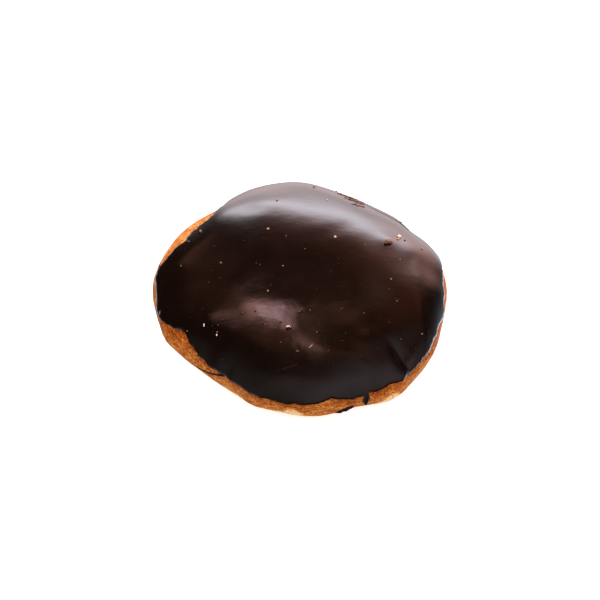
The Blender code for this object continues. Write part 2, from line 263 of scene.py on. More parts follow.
CRUMB_PROUD, CRUMB_UNEVENNESS = 0.25, 0.35
CRUMB_SHAPE, SPECK_SHAPE = (1.0, 0.85, 0.75), (1.0, 1.0, 0.7)
SPECK_COUNT = 120
SPECK_RADII, SPECK_TONES = (0.06 * MM, 0.15 * MM), (0.1, 0.5)

# Torn, flaky patch of icing near the back right edge: rows of flakes, each (first pixel, last pixel, count),
# how far the flakes stray in pixels and in direction, and their half lengths, shape, half height and tones
SCUFF_ROWS = (
    ((338, 193.4), (362.5, 202.4), 40),
    ((345.5, 197.6), (363.5, 204.6), 34),
    ((352, 203.8), (364, 207), 20),
    ((355, 201.6), (362, 204), 12),
)
SCUFF_SPREAD, SCUFF_TURN = 0.35, 0.15
SCUFF_LENGTHS = (0.25 * MM, 0.70 * MM)
SCUFF_NARROWNESS, SCUFF_TONES = (0.18, 0.35), (0.12, 0.72)
SCUFF_HEIGHT = 0.12 * MM
# Scratch in the middle of the icing, from pixel to pixel
SCRATCH_ENDS = ((308.7, 348.2), (312.7, 344.2))
SCRATCH_HALF_WIDTH = 0.12 * MM

# Thin run of icing on the front left of the side, fine ridge along the back right of the icing, and faint
# fold across its front left, each (pixels on its way, widest half width)
SIDE_THREAD = (
    ((224, 375.2), (218, 374.8), (213, 374.2), (207, 372.0), (200, 368.6), (195.5, 365.8)), 0.42 * MM
)
ICING_RIDGE = (((409, 230.4), (400, 222.8), (388, 216.0), (375, 209.8), (363, 203.6)), 0.16 * MM)
ICING_FOLD = (((297, 364.5), (285, 368.5), (270, 372.5), (255, 375.5), (240, 377.0)), 0.11 * MM)
# Drops of icing on the crust, each (first pixel, last pixel, half width)
DROPS = (
    ((160.4, 264.0), (159.4, 268.4), 0.35 * MM),
    ((368.3, 393.0), (364.8, 402.0), 1.05 * MM),
)

# Soft lights on a ceiling at height 1, each (x, y, half length, half width, turn in degrees, radiance)
CEILING_LIGHTS = (
    (-0.14, 0.22, 0.07, 0.05, -25, (7.0, 4.7, 5.1)),
    (-0.29, 0.27, 0.19, 0.11, -4, (5.0, 2.4, 2.1)),
    (-0.77, 0.18, 0.25, 0.09, 8, (1.5, 0.7, 0.6)),
    (-0.08, 0.11, 0.07, 0.04, 67, (4.9, 2.45, 2.1)),
    (-0.01, -0.17, 0.20, 0.05, 90, (2.15, 1.1, 0.93)),
    (0.24, 0.21, 0.16, 0.11, 28, (0.54, 0.20, 0.12)),
    (0.13, 0.34, 0.07, 0.05, 43, (0.68, 0.27, 0.17)),
    (0.47, 1.35, 1.20, 0.58, -42, (1.2, 0.35, 0.20)),
    (-1.27, 1.19, 0.61, 0.17, -37, (0.66, 0.27, 0.22)),
    (-0.13, -0.13, 1.19, 0.24, -37, (0.35, 0.13, 0.08)),
    (1.64, 1.31, 0.87, 0.12, 36, (2.05, 1.4, 1.33)),
)
# Soft windows and what shines below them, each (azimuth from +Y towards +X, elevation, half width, half
# height, radiance)
WINDOWS = (
    (5.0, 19.1, 29.5, 13.7, (7.7, 7.35, 8.1)),
    (8.5, -8.0, 36.0, 28.9, (3.05, 2.5, 2.55)),
    (43.0, 8.1, 17.9, 18.5, (2.6, 1.27, 1.08)),
    (149.6, 8.0, 46.9, 32.9, (0.61, 0.51, 0.53)),
    (17.0, -61.0, 55.0, 12.0, (2.1, 2.35, 2.7)),
    (-52.0, -38.0, 18.0, 14.0, (1.3, 1.45, 1.7)),
    (66.0, -38.0, 34.0, 20.0, (1.4, 1.55, 1.8)),
    (-138.0, -10.0, 24.0, 34.0, (0.16, 0.17, 0.17)),
    (-130.0, -52.0, 22.0, 9.0, (1.1, 1.2, 1.35)),
)
DIM_ROOM = (0.02, 0.013, 0.01)
# Gloss of the icing, full and seen from very low, and the limits between which it falls: the upward part of
# the normal, and how edge-on the view is
FULL_GLOSS, LOW_GLOSS = 0.5, 0.004
LEVEL_ICING, EDGE_ON = (0.75, 0.92), (0.50, 0.70)
OVERHEAD_RADIANCE, OVERHEAD_SIZE, OVERHEAD_LEVEL = 3.5, 2.9, 2.0

STAGE_RADIUS = 4.9
STAGE_GREY = 0.86
FLOOR_GREY, FLOOR_GLOW = 0.65, 0.75


def gap_between(angle, other):
    """The signed difference of two plan angles in degrees, from -180 to 180."""
    return (angle - other + 180.0) % 360.0 - 180.0


def bell(distance, half_width):
    return np.exp(-((distance / half_width) ** 2))


def smooth_step(share):
    """Eases from 0 to 1 as the share goes from 0 to 1."""
    share = np.clip(share, 0, 1)
    return share * share * (3 - 2 * share)


def waves(angle, rows):
    return sum(size * np.cos(np.radians(count * angle + turn)) for count, turn, size in rows)


def bells_round(angle, rows):
    """Sum of the rises round the plan, each (plan angle, half width in degrees, rise)."""
    return sum(rise * bell(gap_between(angle, middle), half_width) for middle, half_width, rise in rows)


def outline(angle, latitude):
    """Radius of the dough's plan, in which narrow swellings spread and melt together towards the top."""
    across = np.radians(angle - PLAN_LEAN)
    radius = HALF_LENGTH * HALF_WIDTH / np.hypot(HALF_WIDTH * np.cos(across), HALF_LENGTH * np.sin(across))
    spread = MELTED_SPREAD * smooth_step((latitude - MELT_LATITUDE) / (MELTED_LATITUDE - MELT_LATITUDE))
    for middle, half_width, rise in SWELLINGS:
        spread_width = np.hypot(half_width, spread)
        radius = radius + rise * half_width / spread_width * bell(gap_between(angle, middle), spread_width)
    return radius


def base_latitude():
    """The latitude, in degrees below the widest level, at which the belly meets the table."""
    return math.degrees(math.asin((WIDEST_LEVEL / BELLY_DROP) ** (BELLY_POWER / 2)))


def section(latitude):
    """The upright section at a latitude in degrees: the share of the plan's radius, and the height."""
    rim = -base_latitude()
    on_base = latitude <= rim
    turned = np.radians(np.clip(latitude, rim, 90.0))
    power = np.where(latitude >= 0, DOME_POWER, BELLY_POWER)
    rise = np.where(latitude >= 0, DOME_RISE, BELLY_DROP)
    reach = np.abs(np.cos(turned)) ** (2 / power)
    height = WIDEST_LEVEL + np.sign(turned) * rise * np.abs(np.sin(turned)) ** (2 / power)
    reach = np.where(on_base, reach * (latitude + 90.0) / (rim + 90.0), reach)
    return reach, np.where(on_base, 0.0, np.maximum(height, 0.0))


def smooth_form(angle, latitude):
    """Points of the dough without its relief, one row for each pair of angle and latitude."""
    reach, height = section(latitude)
    turned, radius = np.radians(angle), outline(angle, latitude) * reach
    return np.stack([radius * np.cos(turned), radius * np.sin(turned), height], axis=-1)


def relief(angle, latitude):
    """How far the dough stands proud of its smooth form."""
    reach, height = section(latitude)
    x, y, _ = smooth_form(angle, latitude).T
    rise = waves(angle, SIDE_WAVES) * reach**4
    rise = rise - WAIST_DEPTH * bell(height - WAIST_LEVEL, WAIST_HALF_HEIGHT)
    along = bell(gap_between(angle, CREASE_ANGLE), CREASE_HALF_SPAN)
    rise = rise - CREASE_DEPTH * along * bell(height - CREASE_LEVEL, CREASE_HALF_HEIGHT)
    on_top = smooth_step(latitude / LUMP_LATITUDE)
    for middle_x, middle_y, size, radius in TOP_LUMPS:
        rise = rise + on_top * size * bell(np.hypot(x - middle_x, y - middle_y), radius)
    on_shoulder = bell(latitude - FOLD_LATITUDE, FOLD_HALF_REACH)
    for middle, depth, half_width in SHOULDER_FOLDS:
        aside = np.radians(gap_between(angle, middle)) * outline(angle, latitude) * reach
        rise = rise - depth * on_shoulder * bell(aside, half_width)
    return rise * np.clip(height / BASE_FADE, 0, 1) ** 2


def facing(surface, angle, latitude):
    """Unit normals of a surface, from points just beside each place."""
    latitude = np.clip(latitude, -89.9, 89.9)
    nudge = math.degrees(SLOPE_STEP / HALF_WIDTH) / 2
    east = surface(angle + nudge, latitude) - surface(angle - nudge, latitude)
    north = surface(angle, latitude + nudge) - surface(angle, latitude - nudge)
    normal = np.cross(east, north)
    return normal / np.linalg.norm(normal, axis=-1, keepdims=True)


def dough_surface(angle, latitude):
    out = relief(angle, latitude)[:, None] * facing(smooth_form, angle, latitude)
    return smooth_form(angle, latitude) + out


def above_dough(angle, latitude, distance):
    return dough_surface(angle, latitude) + distance[:, None] * facing(dough_surface, angle, latitude)


def grain(points, size, octaves=3, seed=0):
    """Fractal noise, mostly from -1 to 1, with lumps about as large as size."""
    start = Vector((seed * 7.3, seed * 3.1, seed * 5.7))
    return np.array([noise.fractal(Vector(point) / size + start, 1.0, 2.0, octaves) for point in points])


def lumps(points, size, length, seed):
    """Noise of some size, with lumps of some length."""
    return size * grain(points, length, 3, seed)


@functools.cache
def random_runs(length, octaves, seed):
    """Noise at even steps round the plan, with runs about as long as length: the angles and the values."""
    angle = np.arange(0.0, 360.0, 0.25)
    turned = np.radians(angle)
    circle = np.stack([np.cos(turned), np.sin(turned), np.zeros(len(angle))], axis=-1) * HALF_WIDTH
    return angle, grain(circle, length, octaves, seed)


def noise_round(angle, size, length, octaves, seed):
    """Random runs round the plan, of some size and length."""
    return size * np.interp(angle % 360.0, *random_runs(length, octaves, seed), period=360.0)


def lip_latitude(angle):
    """The latitude at which the icing ends."""
    level = LIP_LEVEL + waves(angle, LIP_WAVES) + bells_round(angle, LIP_RUNS)
    level = level - DRIP_DROP * np.exp(-((gap_between(angle, DRIP_ANGLE) / DRIP_HALF_WIDTH) ** 4))
    level = level + noise_round(angle, RAGGED_LIP, RAGGED_LENGTH, 4, seed=3)
    share = np.maximum(level - WIDEST_LEVEL, LOWEST_LIP) / DOME_RISE
    return np.degrees(np.arcsin(share ** (DOME_POWER / 2)))


def swells(x, y):
    """The slow swells of the icing's own surface."""
    rise = np.zeros(len(x))
    for middle_x, middle_y, size, radius in GLAZE_SWELLS:
        rise = rise + size * bell(np.hypot(x - middle_x, y - middle_y), radius)
    return rise


def ripples(x, y):
    """The long ripples of the icing's own surface."""
    rise = np.zeros(len(x))
    for turn, middle_x, middle_y, half_length, half_width, size in GLAZE_RIPPLES:
        cosine, sine = math.cos(math.radians(turn)), math.sin(math.radians(turn))
        along = (x - middle_x) * cosine + (y - middle_y) * sine
        across = (y - middle_y) * cosine - (x - middle_x) * sine
        rise = rise + size * bell(along, half_length) * bell(across, half_width)
    return rise


def icing_surface(angle, latitude, outside=True):
    """The icing's outer skin, or the inner one that lies on the dough, which meet in a round lip."""
    into = np.clip((latitude - lip_latitude(angle)) / LIP_LATITUDE, 0, 1)
    roundness = np.sqrt(1 - (1 - into) ** 2)
    upwards = smooth_step((latitude - THIN_ICING_LATITUDE) / (FULL_ICING_LATITUDE - THIN_ICING_LATITUDE))
    height = ICING_AT_LIP + (ICING_ON_TOP - ICING_AT_LIP) * upwards
    height = height + LIP_BEAD * bell(into - 1, LIP_BEAD_SPREAD)
    if outside:
        x, y, _ = smooth_form(angle, latitude).T
        on_top = smooth_step((latitude - RIPPLE_LATITUDE) / (FULL_RIPPLE_LATITUDE - RIPPLE_LATITUDE))
        farther = 1 + ICING_ON_TOP / HALF_WIDTH
        height = height + swells(x, y) * smooth_step(latitude / LUMP_LATITUDE)
        height = height + ripples(x * farther, y * farther) * on_top
    side = 1.0 if outside else -1.0
    return above_dough(angle, latitude, (height + ICING_SUNK) * (1 + side * roundness) / 2 - ICING_SUNK)


def in_scene(name, data):
    """A new object in the scene, made of some data."""
    made = bpy.data.objects.new(name, data)
    bpy.context.scene.collection.objects.link(made)
    return made


def new_piece(name, points, faces, material):
    """A mesh object with its faces pointing out and shaded smooth."""
    mesh = bpy.data.meshes.new(name)
    mesh.from_pydata(points, [], faces)
    shell = bmesh.new()
    shell.from_mesh(mesh)
    if shell.calc_volume(signed=True) < 0:
        bmesh.ops.reverse_faces(shell, faces=shell.faces)
    shell.to_mesh(mesh)
    shell.free()
    mesh.shade_smooth()
    mesh.materials.append(material)
    return in_scene(name, mesh)


def loops_skin(points):
    """Points and faces of a closed skin from rows of points, each row a loop, with a cap on either end."""
    rows, columns = points.shape[:2]
    index = np.arange(rows * columns).reshape(rows, columns)
    onward = np.roll(index, -1, axis=1)
    quads = np.stack([index[:-1], index[1:], onward[1:], onward[:-1]], axis=-1).reshape(-1, 4).tolist()
    first, last = rows * columns, rows * columns + 1
    caps = [(first, here, there) for here, there in zip(index[0].tolist(), onward[0].tolist())]
    caps += [(last, there, here) for here, there in zip(index[-1].tolist(), onward[-1].tolist())]
    ends = np.stack([points[0].mean(axis=0), points[-1].mean(axis=0)])
    return np.concatenate([points.reshape(-1, 3), ends]), quads + caps


def joined_piece(name, bodies, material):
    """One piece made of many small closed bodies, each (points, faces, tone)."""
    points, faces, tones, count = [], [], [], 0
    for body_points, body_faces, tone in bodies:
        points.append(body_points)
        tones.append(np.full(len(body_points), tone))
        faces += [tuple(count + corner for corner in face) for face in body_faces]
        count += len(body_points)
    piece = new_piece(name, np.concatenate(points), faces, material)
    keep_values(piece, "tone", np.concatenate(tones))
    return piece


def keep_values(piece, name, values):
    """Stores one number for each point of the mesh, for its material to read."""
    attribute = piece.data.attributes.new(name, "FLOAT", "POINT")
    attribute.data.foreach_set("value", np.asarray(values, dtype=np.float32))


@functools.cache
def plan_angles():
    """The plan angles of the points in a row, closer together where CLOSER_POINTS asks for it."""
    angle = np.arange(0.0, 360.0, 0.05)
    passed = np.cumsum(1 + bells_round(angle, CLOSER_POINTS))
    return np.interp(np.arange(SEGMENTS) * passed[-1] / SEGMENTS, passed, angle)


def on_grid(surface, latitudes, *more):
    """Points of a surface at rows of latitudes, with SEGMENTS points in each row."""
    angle = np.tile(plan_angles(), len(latitudes))
    latitude = np.asarray(latitudes).reshape(len(latitudes), -1) * np.ones(SEGMENTS)
    return surface(angle, latitude.ravel(), *more).reshape(len(latitudes), SEGMENTS, 3)


def move_to_frame():
    """The move from the middle of the plan to the frame, read from the dough's box."""
    low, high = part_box("dough")
    form = on_grid(dough_surface, np.linspace(30, -30, 61)).reshape(-1, 3)
    middle = (form.min(axis=0) + form.max(axis=0)) / 2
    return np.array([(low[0] + high[0]) / 2 - middle[0], (low[1] + high[1]) / 2 - middle[1], 0.0])


SHIFT = move_to_frame()


def wrinkles(angle, height):
    depth = np.zeros(len(angle))
    for middle, half_span, level, slant, size, half_height in WRINKLES:
        across = gap_between(angle, middle)
        depth = depth + size * bell(across, half_span) * bell(height - level - slant * across, half_height)
    return depth


def crust_relief(points, angle):
    """Fine unevenness of the crust: wrinkles, flat blisters that lie round the side, and a tight grain."""
    rise = sum(
        height * grain(points * (1, 1, flatness), length, 4, seed)
        for height, length, flatness, seed in CRUST_GRAINS
    )
    return (rise - wrinkles(angle, points[:, 2])) * smooth_step(points[:, 2] / CRUST_FADE)


def browning_and_sheen(points, angle):
    """How brown the crust is, from the pale ring, 0, to full brown, 1, with painted sheen that makes it
    lighter round the back left.
    """
    level = RING_LEVEL + bells_round(angle, RING_RISES) + noise_round(angle, *RING_WANDER, 4, seed=5)
    half_height = RING_HALF_HEIGHT * (1 + noise_round(angle, *RING_BREADTH, 3, seed=8))
    away = (points[:, 2] - level) / half_height + lumps(points, *RING_FRAY, seed=6)
    # Painted sheen: the crust is made lighter round the back left.
    painted_sheen = SHEEN_SHARE * bell(gap_between(angle, SHEEN_ANGLE), SHEEN_HALF_SPAN)
    return (1 - np.exp(-(away**4))) * (1 - painted_sheen)


def near_icing(points, angle):
    """How golden the crust is, from 1 beside the icing to 0 where the fat never ran off it, whose pinkish
    brown is partly painted sheen, and to 0 round the back left, where the lighter crust is painted sheen.
    """
    lip = section(lip_latitude(angle))[1]
    depth = (lip - points[:, 2]) / GOLDEN_DEPTH + noise_round(angle, *GOLDEN_WANDER, 3, seed=9)
    near = 1 - smooth_step(depth + lumps(points, *GOLDEN_FRAY, seed=11))
    # Painted sheen: no golden crust round the back left, so it takes the lighter pinkish brown.
    return near * (1 - bell(gap_between(angle, SHEEN_ANGLE), SHEEN_HALF_SPAN))


def dough_piece(material):
    top = np.linspace(LAST_ROW, SIDE_TOP + ROW_GAP, TOP_ROWS)
    side = np.linspace(SIDE_TOP, -base_latitude(), SIDE_ROWS)
    base = np.linspace(-base_latitude() - ROW_GAP, -LAST_ROW, BASE_ROWS)
    rows = np.concatenate([top, side, base])
    points = on_grid(dough_surface, rows).reshape(-1, 3)
    normals = on_grid(lambda angle, latitude: facing(dough_surface, angle, latitude), rows).reshape(-1, 3)
    angle = np.tile(plan_angles(), len(rows))
    # The first of these carries the pale ring and the painted sheen of the back left.
    brown, golden = browning_and_sheen(points, angle), near_icing(points, angle)
    points = points + crust_relief(points, angle)[:, None] * normals + SHIFT
    piece = new_piece("dough_crust", *loops_skin(points.reshape(len(rows), SEGMENTS, 3)), material)
    keep_values(piece, "browning_and_sheen", np.append(brown, (1.0, 1.0)))
    keep_values(piece, "golden", np.append(golden, (0.0, 0.0)))
    return piece


def icing_piece(material):
    lip = lip_latitude(plan_angles())
    full = lip + LIP_LATITUDE
    upper = [full + (90.0 - full) * share**UPPER_CROWDING for share in np.linspace(0, 1, UPPER_ROWS)[1:-1]]
    nose = [lip + LIP_LATITUDE * (1 - math.cos(turn)) for turn in np.linspace(0, 1, NOSE_ROWS) * math.pi / 2]
    under = [full + (90.0 - full) * share for share in np.linspace(0, UNDER_REACH, UNDER_ROWS)[1:]]
    rows = np.array(upper[::-1] + nose[::-1])
    outer = on_grid(icing_surface, rows).reshape(-1, 3)
    normals = on_grid(lambda angle, latitude: facing(dough_surface, angle, latitude), rows).reshape(-1, 3)
    waviness = sum(size * grain(outer, length, 2, seed=4) for size, length in GLAZE_GRAINS)
    outer = (outer + waviness[:, None] * normals).reshape(len(rows), SEGMENTS, 3)
    inner = on_grid(icing_surface, np.array(nose[1:] + under), False)
    return new_piece("chocolate_icing", *loops_skin(np.concatenate([outer, inner]) + SHIFT), material)


def smear_piece(material):
    """A flat run of icing, pointed at its left end."""
    polar = np.linspace(0, math.pi, 33)[1:-1, None]
    turned = np.radians(np.arange(0, 360, 6))
    along, upwards = np.sin(polar) * np.cos(turned), np.sin(polar) * np.sin(turned)
    outwards = np.cos(polar) * np.ones(len(turned))
    breadth = (0.62 + 0.38 * along) * (1 + 0.12 * np.sin(7 * along + 1.5 * upwards))
    level = SMEAR_LEVEL + SMEAR_HALF_HEIGHT * breadth * upwards + SMEAR_SLANT * along
    share = (WIDEST_LEVEL - level) / BELLY_DROP
    latitude = -np.degrees(np.arcsin(np.clip(share, 0, 1) ** (BELLY_POWER / 2)))
    height = SMEAR_HEIGHT * np.clip(outwards * (1 + 0.15 * np.sin(9 * along)), -0.2, 1)
    angle = SMEAR_ANGLE + SMEAR_HALF_SPAN * along
    points = above_dough(angle.ravel(), latitude.ravel(), height.ravel()).reshape(*angle.shape, 3)
    return new_piece("side_smear", *loops_skin(points + SHIFT), material)


def camera_place():
    """Where the camera looks, and where it stands."""
    raised = math.radians(CAMERA_ELEVATION)
    look = Vector(LOOK_AT) + Vector(SHIFT)
    return look, look + CAMERA_DISTANCE * Vector((0.0, -math.cos(raised), math.sin(raised)))


def tree_of(piece):
    """The piece's faces, for rays to be cast at."""
    faces = [face.vertices for face in piece.data.polygons]
    return BVHTree.FromPolygons([point.co for point in piece.data.vertices], faces)


def at_pixel(tree, across, down):
    """The point and the normal that the camera sees at a pixel of the piece."""
    look, eye = camera_place()
    ahead = (look - eye).normalized()
    right = Vector((1.0, 0.0, 0.0))
    up = right.cross(ahead)
    pixel = SENSOR / LENS / PICTURE_SIZE
    ray = ahead + right * (across - PICTURE_SIZE / 2) * pixel - up * (down - PICTURE_SIZE / 2) * pixel
    return tree.ray_cast(eye, ray.normalized())[:2]


def beside(normal, turn):
    """A direction that lies in the surface, turned by some degrees."""
    first = normal.cross(Vector((0.0, 1.0, 0.2))).normalized()
    return first * math.cos(math.radians(turn)) + normal.cross(first) * math.sin(math.radians(turn))


def bubble(tree, point, normal, radius):
    """A low blister that rises smoothly out of the icing, closed below its skin."""
    reach, sunk = 2.0 * MM, 0.02 * MM
    rows = []
    for share in BUBBLE_ROWS:
        rise = BUBBLE_RISE * radius * math.exp(-((share / BUBBLE_BREADTH) ** BUBBLE_POWER))
        rise -= sunk * (share / BUBBLE_ROWS[-1]) ** 3
        row = []
        for turn in range(0, 360, 15):
            guess = point + beside(normal, turn) * radius * share
            hit = tree.ray_cast(guess + normal * reach, -normal)[0] or guess
            row.append(hit + normal * rise)
        rows.append(row)
    rows.append([point - normal * 0.3 * MM + (corner - point) * 0.5 for corner in rows[-1]])
    points, faces = loops_skin(np.array(rows))
    points[-2] = point + normal * BUBBLE_RISE * radius
    return points, faces, 0.0


@functools.cache
def ball(subdivisions):
    """Points and faces of a unit ball."""
    shell = bmesh.new()
    bmesh.ops.create_icosphere(shell, subdivisions=subdivisions, radius=1.0)
    points = np.array([vertex.co for vertex in shell.verts])
    faces = [tuple(vertex.index for vertex in face.verts) for face in shell.faces]
    shell.free()
    return points, faces


def crumb(point, normal, ahead, sizes, tone, seed, proud=CRUMB_PROUD, subdivisions=2):
    """An uneven grain that sits partly sunk in the surface, sizes being its half length, width and height."""
    unit, faces = ball(subdivisions)
    uneven = 1 + CRUMB_UNEVENNESS * grain(unit, 0.9, 2, seed)
    side = normal.cross(ahead).normalized()
    axes = np.array([side.cross(normal), side, normal])
    middle = np.array(point + normal * sizes[2] * proud)
    return middle + (unit * uneven[:, None] * sizes) @ axes, faces, tone


def bubbles_piece(tree, material):
    bodies = [bubble(tree, *at_pixel(tree, across, down), radius) for across, down, radius in BUBBLES]
    return joined_piece("icing_bubbles", bodies, material)


# Crumbs in the icing, with pale grains among them that are painted glints.
def crumbs_and_glints_piece(tree, material):
    bodies = []
    for index, (across, down, tone, radius) in enumerate(CRUMBS_AND_GLINTS):
        point, normal = at_pixel(tree, across, down)
        sizes = [radius * share for share in CRUMB_SHAPE]
        bodies.append(crumb(point, normal, beside(normal, 47 * index), sizes, tone, seed=10 + index))
    return joined_piece("icing_crumbs_and_glints", bodies, material)


def specks_piece(tree, material):
    """Tiny grains scattered all over the icing."""
    draw = np.random.default_rng(7)
    bodies = []
    while len(bodies) < SPECK_COUNT:
        x, y = draw.uniform(-1, 1, 2) * (HALF_LENGTH, HALF_WIDTH)
        size, tone = draw.uniform(*SPECK_RADII), draw.uniform(*SPECK_TONES)
        point, normal, _, _ = tree.ray_cast(Vector((x, y, 0.1)), Vector((0, 0, -1)))
        if point is not None and point.z > LIP_LEVEL:
            sizes = [size * share for share in SPECK_SHAPE]
            bodies.append(crumb(point, normal, beside(normal, 0), sizes, tone, len(bodies), subdivisions=1))
    return joined_piece("icing_specks", bodies, material)


def scuff_piece(tree, material):
    """Thin flakes in rows along the torn patch, and a scratch in the middle of the icing."""
    draw = np.random.default_rng(12)
    bodies = []
    for start, end, count in SCUFF_ROWS:
        ends = [at_pixel(tree, *spot)[0] for spot in (start, end)]
        ahead = (ends[1] - ends[0]).normalized()
        for share in np.linspace(0, 1, count):
            spot = np.array(start) * (1 - share) + np.array(end) * share + draw.normal(0, SCUFF_SPREAD, 2)
            length = draw.uniform(*SCUFF_LENGTHS)
            sizes = (length, length * draw.uniform(*SCUFF_NARROWNESS), SCUFF_HEIGHT)
            turned = ahead + Vector(draw.normal(0, SCUFF_TURN, 3))
            tone = draw.uniform(*SCUFF_TONES)
            seed = 300 + len(bodies)
            bodies.append(crumb(*at_pixel(tree, *spot), turned, sizes, tone, seed, proud=0.5, subdivisions=1))
    start, end = (at_pixel(tree, *spot) for spot in SCRATCH_ENDS)
    ahead = end[0] - start[0]
    sizes = (ahead.length / 2, SCRATCH_HALF_WIDTH, SCRATCH_HALF_WIDTH)
    bodies.append(crumb((start[0] + end[0]) / 2, start[1], ahead, sizes, tone=0.8, seed=5, proud=0.3))
    return joined_piece("icing_scuff", bodies, material)


def thread_piece(name, tree, pixels, widest, material):
    """A thin run of icing that lies on the surface along some pixels and tapers to its last end."""
    shares = np.linspace(0, 1, 40)
    known = np.linspace(0, 1, len(pixels))
    across, down = (np.interp(shares, known, column) for column in np.array(pixels).T)
    seen = [at_pixel(tree, *spot) for spot in zip(across, down)]
    path = np.array([point for point, _ in seen])
    turns = np.radians(np.arange(0, 360, 30))
    rows = []
    for index, (point, normal) in enumerate(seen):
        ahead = Vector(path[min(index + 2, len(path) - 1)] - path[max(index - 2, 0)]).normalized()
        side = normal.cross(ahead).normalized()
        share = index / (len(seen) - 1)
        half_width = widest * math.sqrt(max(1 - share, 0.02)) * (1 + 0.15 * math.sin(11 * share))
        wide, high = side * half_width, normal * half_width
        rows.append([point + wide * math.cos(turn) + high * math.sin(turn) for turn in turns])
    return new_piece(name, *loops_skin(np.array(rows)), material)


def drops_piece(tree, material):
    """Drops of icing on the crust, each drawn out between two pixels."""
    bodies = []
    for start, end, half_width in DROPS:
        (first, normal), (last, _) = (at_pixel(tree, *spot) for spot in (start, end))
        ahead = last - first
        sizes = (ahead.length / 2, half_width, half_width * 0.7)
        middle, seed = (first + last) / 2, 90 + len(bodies)
        bodies.append(crumb(middle, normal, ahead, sizes, 0.0, seed, proud=0.2, subdivisions=3))
    return joined_piece("icing_drops", bodies, material)


def feed(tree, node, inputs):
    """Links values that come from nodes to the inputs of a node, by name or number, and sets plain ones."""
    for name, value in inputs.items():
        if isinstance(value, bpy.types.NodeSocket):
            tree.links.new(value, node.inputs[name])
        else:
            node.inputs[name].default_value = value
    return node


def new_node(tree, kind, inputs):
    """A new shader node with some of its inputs."""
    return feed(tree, tree.nodes.new("ShaderNode" + kind), inputs)


def maths(tree, operation, *values, kind="Math"):
    """The result of an operation on numbers."""
    node = new_node(tree, kind, {})
    node.operation = operation
    return feed(tree, node, dict(enumerate(values))).outputs[0]


def vectors(tree, operation, *values):
    """The result of an operation on vectors or colours."""
    return maths(tree, operation, *values, kind="VectorMath")


def scaled(tree, vector, factor):
    """A vector or colour times a number."""
    node = new_node(tree, "VectorMath", {})
    node.operation = "SCALE"
    return feed(tree, node, {0: vector, "Scale": factor}).outputs[0]


def new_material(name, inputs):
    """A material, its tree, its Principled shader with some inputs, and its coordinates in millimetres."""
    material = bpy.data.materials.new(name)
    material.use_nodes = True
    tree = material.node_tree
    shader = feed(tree, tree.nodes["Principled BSDF"], inputs)
    place = new_node(tree, "TexCoord", {}).outputs["Object"]
    return material, tree, shader, scaled(tree, place, 1 / MM)


def round_the_side(tree, place, radius):
    """Coordinates that change slowly round the doughnut and fast up its side, for streaks round it."""
    circle = vectors(tree, "NORMALIZE", vectors(tree, "MULTIPLY", place, (1.0, 1.0, 0.0)))
    circle = vectors(tree, "MULTIPLY", circle, (radius, radius, 0.0))
    return vectors(tree, "ADD", circle, vectors(tree, "MULTIPLY", place, (0.0, 0.0, 1.0)))


def noise_node(tree, vector, lump_size, detail, roughness):
    """Noise whose lumps are about lump_size millimetres."""
    inputs = {"Vector": vector, "Scale": 1 / lump_size, "Detail": detail, "Roughness": roughness}
    return new_node(tree, "TexNoise", inputs).outputs["Fac"]


def cell_node(tree, vector, spacing):
    """Distance to the nearest of scattered points, and a random grey for each, spacing in millimetres."""
    node = new_node(tree, "TexVoronoi", {"Vector": vector, "Scale": 1 / spacing})
    return node.outputs["Distance"], node.outputs["Color"]


def range_node(tree, value, low, high, start=0.0, end=1.0):
    """Start at low and below, end at high and above, and a smooth change between."""
    node = new_node(tree, "MapRange", dict(enumerate((value, low, high, start, end))))
    node.interpolation_type = "SMOOTHSTEP"
    return node.outputs[0]


def ramp_node(tree, factor, stops):
    """A colour ramp with stops of (position, colour)."""
    node = new_node(tree, "ValToRGB", {"Fac": factor})
    ramp = node.color_ramp
    while len(ramp.elements) < len(stops):
        ramp.elements.new(0.5)
    for element, (position, colour) in zip(ramp.elements, stops):
        element.position = position
        element.color = (*colour, 1.0)
    return node.outputs["Color"]


def mix_node(tree, factor, first, second):
    """A mix of two colours."""
    node = new_node(tree, "Mix", {})
    node.data_type = "RGBA"
    return feed(tree, node, {0: factor, 6: first, 7: second}).outputs[2]


def value_node(tree, name):
    node = new_node(tree, "Attribute", {})
    node.attribute_name = name
    return node.outputs["Fac"]


def bumps(tree, layers):
    """The normal after layers of relief, each (texture, height)."""
    inputs = {}
    for texture, height in layers:
        node = new_node(tree, "Bump", inputs | {"Height": texture, "Distance": height})
        inputs = {"Normal": node.outputs["Normal"]}
    return node.outputs["Normal"]


